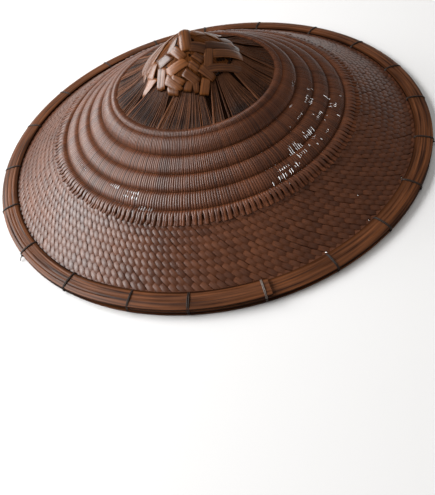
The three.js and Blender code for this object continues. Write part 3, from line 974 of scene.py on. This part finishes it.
edges = []
turn = full_turn(pinhole_points)
for degrees, r in pinholes:
    edge_radius = r * mm + pinhole_edge * np.cos(turn)
    edge_angle = math.radians(degrees) + pinhole_edge * np.sin(turn) / (r * mm)
    points = on_line(brim_line, distance_of(edge_radius), edge_angle, torn_depth)
    edges.append({"points": points, "width": 1.0, "tone": 0.4, "closed": True})
torn_edges = lay_strands("torn_edges", edges, torn_width, torn_thick, 5, weave_finish)
stitches = join(rows, "brim_stitches")
pierce(stitches)
stitches = join([stitches, torn_edges], "brim_stitches")
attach(stitches, "root")
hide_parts("brim")

# A closed layer of weave just under the stitches
backing_turns, backing_rows = 720, 48
backing_from, backing_to = 155 * mm, 236.5 * mm
backing_top, backing_bottom = -0.95 * mm, -1.75 * mm
down = np.linspace(distance_of(backing_from), distance_of(backing_to), backing_rows)
angle, distance = np.meshgrid(full_turn(backing_turns), down, indexing="ij")
# The backing has a low rise, so it takes part of the painted shade colour where it shows between
# stitches
backing = add_piece("brim_backing", [strip_part(
    *(on_line(brim_line, distance, angle, side) for side in (backing_top, backing_bottom)),
    (distance, angle * 0.2), 0.3, 0.2, joined=True,
)], weave_finish)
pierce(backing)
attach(backing, "root")
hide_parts("brim")

# Hoops
# Two flat hoops of split bamboo that clamp the brim's edge. The upper one is a strip whose end
# laps over its own start at the near side, and its fibres have cracked here and there. The lower
# one is plain and rests on the floor.
hoop_slope = 0.14
hoop_inner = 221.8 * mm
hoop_seat = 7.5 * mm
hoop_thick = 2.5 * mm
hoop_crown = 0.35 * mm
hoop_roundness = 32.24
hoop_stations, hoop_columns = 393, 29
hoop_ridges, hoop_ridge = 9, 0.028 * mm
lap_under, lap_over, lap_ramp, lap_level = 243.5, 275.5, 20, 1
piece_gap = 0.3 * mm
hoop_finish = bamboo_finish(
    "hoop_skin", sunk=(0.006, 0.002, 0.001), dark=(0.032, 0.01, 0.004), light=(0.195, 0.067, 0.024),
    streaks=420, contrast=2.7, relief=0.14, shine=0.2, rough=0.36,
)

# Cracks along the hoop: from and to in degrees, where they lie across it, and their depth in mm
hoop_cracks = (
    (248, 263, 0.45, 0.03, 0.9), (248.5, 262, 0.4, 0, 0.9), (250, 330, 0.3, 0.34, 0.25),
    (276, 300, 0.55, 0.6, 0.25), (300, 372, 0.72, 0.66, 0.3), (395, 440, 0.4, 0.5, 0.3),
    (470, 520, 0.6, 0.5, 0.3), (505, 560, 0.3, 0.42, 0.4), (545, 580, 0.62, 0.5, 0.4),
    (550, 600, 0.8, 0.72, 0.5), (560, 586, 0.2, 0.3, 0.3), (585, 625, 0.55, 0.6, 0.3),
    (590, 632, 0.25, 0.22, 0.3),
)
fine_cracks = 70
crack_half_width = 0.034
crack_end = 3


def lap_lift(degrees):
    ramp_end = lap_under + 360 - lap_level
    return smooth_step(degrees, ramp_end - lap_ramp, ramp_end) * (hoop_thick + hoop_crown + piece_gap)


def hoop_top(r, degrees):
    """Height of the top hoop's upper face at its middle."""
    return hoop_seat - hoop_slope * (r - hoop_inner) + hoop_thick + hoop_crown + lap_lift(degrees)


rng = np.random.default_rng(31)
degrees = np.linspace(lap_under, lap_over + 360, hoop_stations)
share = np.concatenate(([0, 0.03], np.linspace(0.065, 0.935, hoop_columns), [0.97, 1]))
raised = hoop_crown * (1 - hoop_roundness * np.abs(share - 0.5) ** 3.2)
d, u = np.meshgrid(degrees, share, indexing="ij")
r = hoop_inner + (rim_radius - hoop_inner) * u
seat = hoop_seat - hoop_slope * (r - hoop_inner) + lap_lift(d)
ridges = np.zeros_like(d)
for _ in range(hoop_ridges):
    across, along, phase = rng.uniform(12, 45), rng.integers(1, 5), rng.uniform(0, 6.28)
    ridges += hoop_ridge * np.sin(across * u + along * np.radians(d) + phase)
cracks = list(hoop_cracks)
for _ in range(fine_cracks):
    crack_from, share_from = rng.uniform(lap_under, lap_over + 340), rng.uniform(0.08, 0.92)
    cracks.append((
        crack_from, crack_from + rng.uniform(8, 40), share_from, share_from + rng.uniform(-0.06, 0.06),
        rng.uniform(0.08, 0.25),
    ))
opened = np.zeros_like(d)
for crack_from, crack_to, share_from, share_to, depth in cracks:
    place = np.interp(d, (crack_from, crack_to), (share_from, share_to))
    reach = smooth_step(d, crack_from, crack_from + crack_end)
    reach *= 1 - smooth_step(d, crack_to - crack_end, crack_to)
    opened = np.maximum(opened, depth * reach * np.clip(1 - np.abs(u - place) / crack_half_width, 0, 1))
ridges -= opened * mm
edge = (share > 0) & (share < 1)
top = seat + hoop_thick + raised + ridges * edge
turn = np.radians(d)
# Painted shade: the hoop's rounded side edges and its cracks get a lower rise and so the painted shade
# colour, and a painted shadow darkens the inner edge where it meets the brim
rise = np.where(edge, 1.0, 0.25) * np.clip(1 - 2.2 * opened, 0, 1)
rise *= 0.25 + 0.75 * smooth_step(u, 0.06, 0.22)
hoop = add_piece("hoop_upper", [strip_part(
    round_axis(r, turn, top), round_axis(r, turn, seat), (turn * rim_radius, r), rise, 0.5,
)], hoop_finish)
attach(hoop, "root")
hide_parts("rim_hoop_top")

under_turns = 240
under_top = np.array(((239.6, 2.53), (239, 2.61), (233.5, 3.38), (222.3, 4.95))) * mm
under_bottom = np.array(((239.6, 0.8), (239, 0), (233.5, 0), (222.3, 2.2))) * mm
turn = full_turn(under_turns)[:, None]
# The lower hoop has a lowered rise, so part of its colour is painted shade
under_hoop = add_piece("hoop_lower", [strip_part(
    *(round_axis(line[:, 0], turn, line[:, 1]) for line in (under_top, under_bottom)),
    (turn * rim_radius, under_top[:, 0]), 0.5, 0.2, joined=True,
)], hoop_finish)
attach(under_hoop, "root")
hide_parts("rim_hoop_under")

# Lashings
# Dark strands wound round both hoops and through the brim, drawn tight and tied. One is spread
# wider, one is paler, and two have a knot's stub at the rim.
lashing_angles = (
    12, 29, 46, 65, 83, 100, 118, 136, 153, 172, 189, 207, 225, 243, 257, 274, 291, 307, 322, 339, 356,
)
strand_thick = 1.1 * mm
lashing_inner = hoop_inner - 2 * piece_gap - strand_thick / 2
lashing_outer = rim_radius + piece_gap + strand_thick / 2
foot_inner = 232.5 * mm
# Heights of the loop under the brim, under the rim and under the foot
loop_start, loop_rim, loop_foot = 1.8 * mm, 0.7 * mm, 0.65 * mm
spread_wider, pale = 257, 274
strand_spread, wider_spread = 0.95, 1.35
stubs = {207: 1, 339: -1}
stub_radius = np.array((239.5, 241.5, 243.5, 245)) * mm
stub_bend = np.array((0, 0.6, 2, 3.6)) * mm
stub_height = np.array((3.4, 3, 2.2, 1.4)) * mm
lashing_finish = bamboo_finish(
    "lashing_strand", sunk=(0.012, 0.009, 0.008), dark=(0.018, 0.013, 0.011), light=(0.05, 0.036, 0.03),
    streaks=1200, contrast=0.8, relief=0.05, shine=0.15,
)
pale_lashing_finish = bamboo_finish(
    "pale_lashing_strand", sunk=(0.03, 0.023, 0.019), dark=(0.08, 0.06, 0.05), light=(0.23, 0.185, 0.16),
    streaks=1200, contrast=0.8, relief=0.05, shine=0.3,
)


def rounded_loop(corners, rounds=2):
    """A closed loop with its corners cut off and cut off again."""
    for _ in range(rounds):
        following = np.roll(corners, -1, axis=0)
        cuts = [corners * 0.75 + following * 0.25, corners * 0.25 + following * 0.75]
        corners = np.stack(cuts, axis=1).reshape(-1, 2)
    return corners


for number, place in enumerate(lashing_angles, start=1):
    laid = place + 360 if lap_over - 180 < place < lap_over else place
    top_in, top_out = (hoop_top(r, laid) + strand_thick / 2 for r in (lashing_inner, lashing_outer))
    loop = rounded_loop(np.array((
        (lashing_inner, loop_start), (lashing_inner, top_in), (lashing_outer, top_out),
        (lashing_outer, loop_rim), (foot_inner, loop_foot),
    )))
    spread = strand_thick / rim_radius * (wider_spread if place == spread_wider else strand_spread)
    lines = []
    for side in (-0.5, 0.5):
        points = round_axis(loop[:, 0], math.radians(place) + side * spread, loop[:, 1])
        lines.append({"points": points, "width": 1.0, "tone": 0.5, "closed": True})
    if place in stubs:
        stub_angle = math.radians(place) + stubs[place] * stub_bend / rim_radius
        points = round_axis(stub_radius, stub_angle, stub_height)
        lines.append({"points": points, "width": 0.8, "tone": 0.4})
    finish = pale_lashing_finish if place == pale else lashing_finish
    lashing = lay_strands(f"lashing_strand_{number:02d}", lines, strand_thick, strand_thick, 8, finish)
    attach(lashing, "root")
    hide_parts(f"rim_lashing_{number:02d}")
